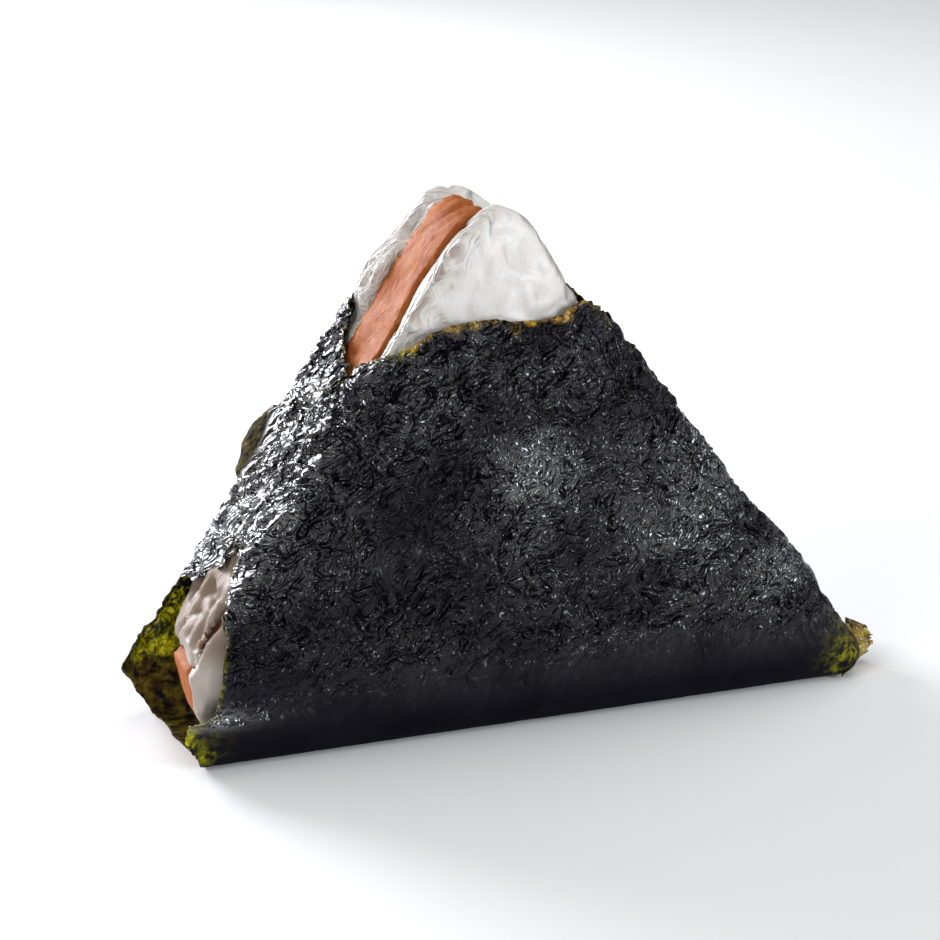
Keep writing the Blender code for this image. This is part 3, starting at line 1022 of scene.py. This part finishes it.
def grain(seed):
    """A cooked grain about 6 mm long, lying along X."""
    chance = np.random.default_rng(seed)
    around, along = 10, 8
    points, faces = [(-3.1, 0.0, 0.0)], []
    for i in range(1, along):
        t = math.pi * i / along
        for j in range(around):
            a = 2 * math.pi * j / around
            thick = math.sin(t) ** 0.75 * (1.0 + 0.12 * math.cos(t))
            points.append((-3.1 * math.cos(t), 1.42 * thick * math.cos(a), 1.2 * thick * math.sin(a)))
    points.append((3.1, 0.0, 0.0))
    for j in range(around):
        k = (j + 1) % around
        faces.append((0, 1 + k, 1 + j))
        for i in range(along - 2):
            a, b = 1 + i * around, 1 + (i + 1) * around
            faces.append((a + j, a + k, b + k, b + j))
        last = 1 + (along - 2) * around
        faces.append((last + j, last + k, len(points) - 1))
    points = np.array(points)
    points[:, 1] += chance.uniform(-0.05, 0.05) * points[:, 0] ** 2
    points[:, 2] += chance.uniform(-0.02, 0.03) * points[:, 0] ** 2
    points *= (chance.uniform(0.86, 1.04), chance.uniform(0.9, 1.1), chance.uniform(0.9, 1.1))
    obj = mesh_of("grain_" + str(seed), points, faces, {})
    bpy.context.collection.objects.unlink(obj)
    return obj


grains = bpy.data.collections.new("grains")
for number in range(5):
    grains.objects.link(grain(number))

# %% [markdown]
# Cooked rice is sticky, so a pressed layer is a crowd of grains with hardly a gap. Each layer here is a
# smaller core with real grains on it wherever it shows. Geometry nodes scatter them a set distance apart,
# lay them along the slope where the rice is combed, and spin them elsewhere.

# %% Scatter the grains with geometry nodes


def scatter_group():
    group, start, end = new_group(
        "Scatter grains", "GeometryNodeTree",
        [("Body", "NodeSocketGeometry"), ("Grains", "NodeSocketCollection"), ("Spacing", "NodeSocketFloat"),
         ("Tilt", "NodeSocketFloat"), ("Seed", "NodeSocketInt"), ("Finish", "NodeSocketMaterial")],
        [("Grains", "NodeSocketGeometry")])
    link = group.links.new
    spread = add(group, "GeometryNodeDistributePointsOnFaces", distribute_method="POISSON")
    link(start.outputs["Body"], spread.inputs["Mesh"])
    link(start.outputs["Spacing"], spread.inputs["Distance Min"])
    spread.inputs["Density Max"].default_value = 2.0e6
    link(stored(group, "bare"), spread.inputs["Density Factor"])
    link(start.outputs["Seed"], spread.inputs["Seed"])
    flat = add(group, "FunctionNodeAlignRotationToVector", axis="Z")
    link(spread.outputs["Normal"], flat.inputs["Vector"])
    along = add(group, "FunctionNodeAlignRotationToVector", axis="X", pivot_axis="Z")
    link(flat.outputs[0], along.inputs["Rotation"])
    link(stored(group, "slope", "FLOAT_VECTOR"), along.inputs["Vector"])
    held = arithmetic(group, "MULTIPLY", stored(group, "combed"), 0.9)
    loose = arithmetic(group, "SUBTRACT", 1.0, held)
    angle = arithmetic(group, "MULTIPLY", by_chance(group, -math.pi, math.pi), loose)
    tilted = arithmetic(group, "MULTIPLY", by_chance(group, -1.0, 1.0, 7), start.outputs["Tilt"])
    turn = add(group, "ShaderNodeCombineXYZ")
    link(tilted, turn.inputs["Y"])
    link(angle, turn.inputs["Z"])
    local = add(group, "FunctionNodeRotateRotation", rotation_space="LOCAL")
    link(along.outputs[0], local.inputs[0])
    link(turn.outputs[0], local.inputs[1])
    pick = add(group, "GeometryNodeCollectionInfo")
    link(start.outputs["Grains"], pick.inputs["Collection"])
    pick.inputs["Separate Children"].default_value = True
    place = add(group, "GeometryNodeInstanceOnPoints")
    link(spread.outputs["Points"], place.inputs["Points"])
    link(pick.outputs[0], place.inputs["Instance"])
    place.inputs["Pick Instance"].default_value = True
    link(local.outputs[0], place.inputs["Rotation"])
    link(by_chance(group, 0.85, 1.1, 11), place.inputs["Scale"])
    realize = add(group, "GeometryNodeRealizeInstances")
    link(place.outputs[0], realize.inputs[0])
    smooth = add(group, "GeometryNodeSetShadeSmooth")
    link(realize.outputs[0], smooth.inputs["Geometry"])
    finish = add(group, "GeometryNodeSetMaterial")
    link(smooth.outputs[0], finish.inputs[0])
    link(start.outputs["Finish"], finish.inputs["Material"])
    link(finish.outputs[0], end.inputs[0])
    return group


SCATTER = scatter_group()
print("scatter inputs:", [i.name for i in SCATTER.interface.items_tree if i.in_out == "INPUT"])

# %% [markdown]
# A mould or a palm presses the rice flat, so what reaches past the layer's outside is pushed back to it. At
# the open corner some rice laps over the fish, so there the outside takes in a little more than the layer.

# %% The outside that the rice is pressed to


def slopes(points, normals):
    """Which way the slope runs at each point, for combing the grains."""
    left = normals[:, 0] < 0
    run = np.where(left[:, None], LEFT_DOWN, RIGHT_DOWN)
    return np.column_stack((run[:, 0], np.zeros(len(points)), run[:, 1]))


def press(points, outside, sink, slack):
    """Pushes points back until they lie this deep inside a closed surface, but for a small share."""
    for i, p in enumerate(points):
        found, normal, _, _ = outside.find_nearest(Vector(p))
        over = (Vector(p) - found).dot(normal) + sink
        if over > 0:
            points[i] = p - np.array(normal) * over * (1 - slack)
    return points


def with_fish(rice, over, mark):
    """The outside of a rice layer with the fish that its rice laps over, as one closed surface to search."""
    whole = bpy.data.meshes.new("heap")
    points, faces = [], []
    for node in (rice, "salmon"):
        layer, layer_faces, normals = LAYERS[node]
        push = over * mark(layer, normals) - 0.5 if node == "salmon" else np.zeros(len(layer))
        faces += [tuple(i + len(points) for i in face) for face in layer_faces]
        points += (layer + normals * push[:, None]).tolist()
    whole.from_pydata((np.array(points) * MM).tolist(), [], faces)
    made = evened(whole, 0.6)
    corners = [v.co / MM for v in made.vertices]
    return BVHTree.FromPolygons(corners, [tuple(q.vertices) for q in made.polygons])


OUTSIDES = {
    "rice_back": with_fish("rice_back", 2.4, under_heap),
    "rice_front": with_fish("rice_front", 1.5, lap_over_fish),
}
print("outsides:", sorted(OUTSIDES))

# %% [markdown]
# Cooked grains stick together. Melting them and their core into one mesh gives the soft joints between
# them, and pressing that mesh back to the outside gives the flat places that a mould leaves. The melted
# mesh then gets the marks that the rice surface reads.

# %% Melt and press grains


def grain_bed(points, faces, normals, bare, sink, spacing, tilt, seed):
    """Grains over the bare part of a surface, sunk this deep."""
    marks = {"bare": bare, "combed": combed(points, normals)}
    bed = mesh_of("bed", points - normals * sink[:, None], faces, marks)
    slope = bed.data.attributes.new("slope", "FLOAT_VECTOR", "POINT")
    slope.data.foreach_set("vector", slopes(points, normals).ravel().astype(np.float32))
    run_nodes(bed, SCATTER, Grains=grains, Spacing=spacing * MM, Tilt=tilt, Seed=seed, Finish=RICE)
    return bed


MELT = 0.43  # smaller gaps than this between grains close up


def fused(name, parts, outside, node):
    """Melts parts into one sticky mass, and presses it back to this outside."""
    whole = bmesh.new()
    for part in parts:
        whole.from_mesh(part.data)
        bpy.data.objects.remove(part)
    mesh = bpy.data.meshes.new(name)
    whole.to_mesh(mesh)
    whole.free()
    made = evened(mesh, MELT, soften=2)
    obj = linked(name, made)
    co = press(rows_of(made.vertices, "co") / MM, outside, sink=0.10, slack=0.12)
    made.vertices.foreach_set("co", (co * MM).ravel())
    normals = rows_of(made.vertex_normals, "vector")
    left, right = slope_place(co)
    across = co[:, 1] + from_slope(co)
    down = np.where(normals[:, 0] < 0.3, left, right)
    streak = np.column_stack((down * 0.16, across, co[:, 2] * 0.05)) * MM
    made.attributes.new("streak", "FLOAT_VECTOR", "POINT").data.foreach_set("vector", streak.ravel())
    comb = combed(co, normals).astype(np.float32)
    made.attributes.new("combed", "FLOAT", "POINT").data.foreach_set("value", comb)
    # painted shade at the open corner, weaker below 13 mm
    shade = ease(-right_of_tip(co), 21.0, 27.0) * (0.55 + 0.45 * ease(co[:, 2], 13.0, 17.0))
    made.attributes.new("shade", "FLOAT", "POINT").data.foreach_set("value", shade.astype(np.float32))
    made.materials.clear()
    made.materials.append(RICE)
    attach(obj, "root")
    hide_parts(node)
    return obj


print("grains melt at", MELT, "mm")

# %% [markdown]
# The two layers of rice. The core is sunk deeper where grains lie on it and less on the pressed faces. Over
# the fish at the open corner, the core is a copy of the fish's own skin, moved out where the rice laps over
# it and cut off behind the corner, with a few more grains on the heap.

# %% Make the rice
CORNER_CUT = 17.0  # how far left of the tip the fish's cover is cut off


def corner_part(obj):
    """Keeps only what lies near the open corner, and closes the cut."""
    shape = bmesh.new()
    shape.from_mesh(obj.data)
    whole = shape.verts[:] + shape.edges[:] + shape.faces[:]
    place = ((tip[0] - CORNER_CUT) * MM, 0.0, 0.0)
    right = (1.0, 0.0, 0.0)
    cut = bmesh.ops.bisect_plane(shape, geom=whole, plane_co=place, plane_no=right, clear_outer=True)
    edges = [e for e in cut["geom_cut"] if isinstance(e, bmesh.types.BMEdge)]
    bmesh.ops.holes_fill(shape, edges=edges, sides=0)
    shape.to_mesh(obj.data)
    shape.free()
    return obj


def rice_piece(node, seed):
    """A layer of rice: its core, its grains, and what laps over the fish, melted and pressed."""
    points, faces, normals = LAYERS[node]
    flatness = np.clip((np.abs(normals[:, 1]) - 0.75) / 0.2, 0.0, 1.0)
    corner = ease(-right_of_tip(points), 26.0, 34.0)
    low = np.zeros(len(points))
    beside = np.zeros(len(points))
    if node == "rice_back":
        low = ease(-right_of_tip(points), 31.0, 35.0) * (1 - ease(points[:, 2], 12.5, 15.5))
        beside = (1 - ease(points[:, 1], 3.0, 6.0)) * ease(points[:, 2], 44.0, 50.0)
    core_sink = 0.85 - 0.42 * flatness + 1.6 * low + 0.9 * beside
    if node == "rice_front":
        core_sink = core_sink - 0.35 * corner
        core_sink -= 0.6 * corner * (1 - ease(points[:, 2], 12.0, 15.0))
    core = mesh_of("core", points - normals * core_sink[:, None], faces, {})
    foot = (right_of_tip(points) < -31.0) & (points[:, 2] < 13.0)
    bare = bare_rice(points, normals) * (low < 0.3) * ~foot
    sink = 1.05 + 0.15 * corner + 0.9 * beside
    bed = grain_bed(points, faces, normals, bare, sink, spacing=2.5, tilt=0.16, seed=seed)
    fish, fish_faces, fish_normals = LAYERS["salmon"]
    heap = under_heap(fish, fish_normals) if node == "rice_back" else lap_over_fish(fish, fish_normals)
    cover = fish + fish_normals * (0.8 * heap - 3.0 * (1 - heap))[:, None]
    parts = [core, bed, corner_part(mesh_of("cover", cover, fish_faces, {}))]
    if node == "rice_back":
        place = (heap > 0.5).astype(float)
        lift = np.full(len(fish), -0.8)
        parts.append(grain_bed(fish, fish_faces, fish_normals, place, lift, spacing=2.8, tilt=0.25, seed=5))
    return fused(node + "_grains", parts, OUTSIDES[node], node)


for piece in (rice_piece("rice_front", 2), rice_piece("rice_back", 4)):
    print(piece.name, len(piece.data.polygons), "faces")

# %% [markdown]
# Cooked salmon falls into flakes, and pressed between the rice it keeps a soft broken edge. Its layer is an
# even copy of the frame's layer, pushed in and out by the same dents and creases as the nori, with hardly
# any of the fine crinkle.

# %% Salmon


def salmon_piece():
    points, faces, _ = LAYERS["salmon"]
    slack = 0.4 + 0.6 * ease(points[:, 2], 12.0, 20.0)
    obj = mesh_of("salmon_flakes", points, faces, {"slack": slack})
    run_nodes(obj, CRUMPLE, Dents=2.2 * MM, Creases=1.2 * MM, Crinkle=0.15 * MM, Finish=SALMON)
    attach(obj, "root")
    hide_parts("salmon")
    return obj


print("salmon_flakes", len(salmon_piece().data.polygons), "faces")

# %% [markdown]
# The floor is plain white paper, wide enough to fill the camera's view.

# %% Floor


def floor_piece():
    mesh = bpy.data.meshes.new("floor")
    mesh.from_pydata([(-3, -3, 0), (3, -3, 0), (3, 3, 0), (-3, 3, 0)], [], [(0, 1, 2, 3)])
    floor = linked("floor", mesh)
    material, tree, surface, place = new_material("paper floor")
    shade = blend(tree, mottle(tree, place, 30.0, 0.0, 1.0), (0.93, 0.93, 0.93), (0.95, 0.95, 0.95))
    tree.links.new(shade, surface.inputs["Base Color"])
    surface.inputs["Roughness"].default_value = 0.8
    mesh.materials.append(material)
    return floor


print("floor:", floor_piece().name)

# %% [markdown]
# A light studio. Nori only shows its crinkles in reflected light, so each face has its own light: one
# behind on the left makes the slope sparkle, and one from the right catches the broad face. A small one from
# the left and a big one above keep the rice soft and bright.

# %% Lights


def light(name, direction, distance, size, power, colour=(1.0, 1.0, 1.0)):
    """A square area light that looks at the rice ball from this direction."""
    data = bpy.data.lights.new(name, "AREA")
    data.shape = "SQUARE"
    data.size = size
    data.energy = power
    data.color = colour
    obj = bpy.data.objects.new(name, data)
    bpy.context.collection.objects.link(obj)
    target = Vector((tip[0] * MM, 0.0, 0.035))
    toward = Vector(direction).normalized()
    obj.location = target + toward * distance
    obj.rotation_euler = toward.to_track_quat("Z", "Y").to_euler()


light("key", (-0.85, -0.40, 0.55), 0.7, 0.25, 1.4)
light("slope", (-0.43, 0.89, 0.26), 0.6, 0.30, 5.6, (0.93, 0.94, 1.0))
light("face", (0.62, -0.76, 0.24), 0.8, 0.30, 4.3, (0.87, 0.93, 1.0))
light("top", (0.1, 0.1, 1.0), 1.0, 0.9, 3.6)

world = bpy.data.worlds.new("room")
world.use_nodes = True
world.node_tree.nodes["Background"].inputs["Color"].default_value = (1.0, 1.0, 1.0, 1.0)
world.node_tree.nodes["Background"].inputs["Strength"].default_value = 0.225
bpy.context.scene.world = world
bpy.context.scene.view_settings.view_transform = "Standard"

# %% [markdown]
# The camera stands in front, to the left and a little above, so that the open corner, the broad face and the
# bare tip are all in view. A long lens keeps the triangle's sides straight and even.

# %% Camera
camera_data = bpy.data.cameras.new("camera")
camera_data.lens = 100.0
camera_data.clip_start = 0.01
camera = bpy.data.objects.new("camera", camera_data)
bpy.context.collection.objects.link(camera)
turn, rise = math.radians(-19.01), math.radians(19.5)
back = Vector((math.sin(turn) * math.cos(rise), -math.cos(turn) * math.cos(rise), math.sin(rise)))
camera.location = Vector((-7.01, 0.0, 33.18)) * MM + back * 344.7 * MM
camera.rotation_euler = back.to_track_quat("Z", "Y").to_euler()
bpy.context.scene.camera = camera
print("camera at", [round(c, 3) for c in camera.location])
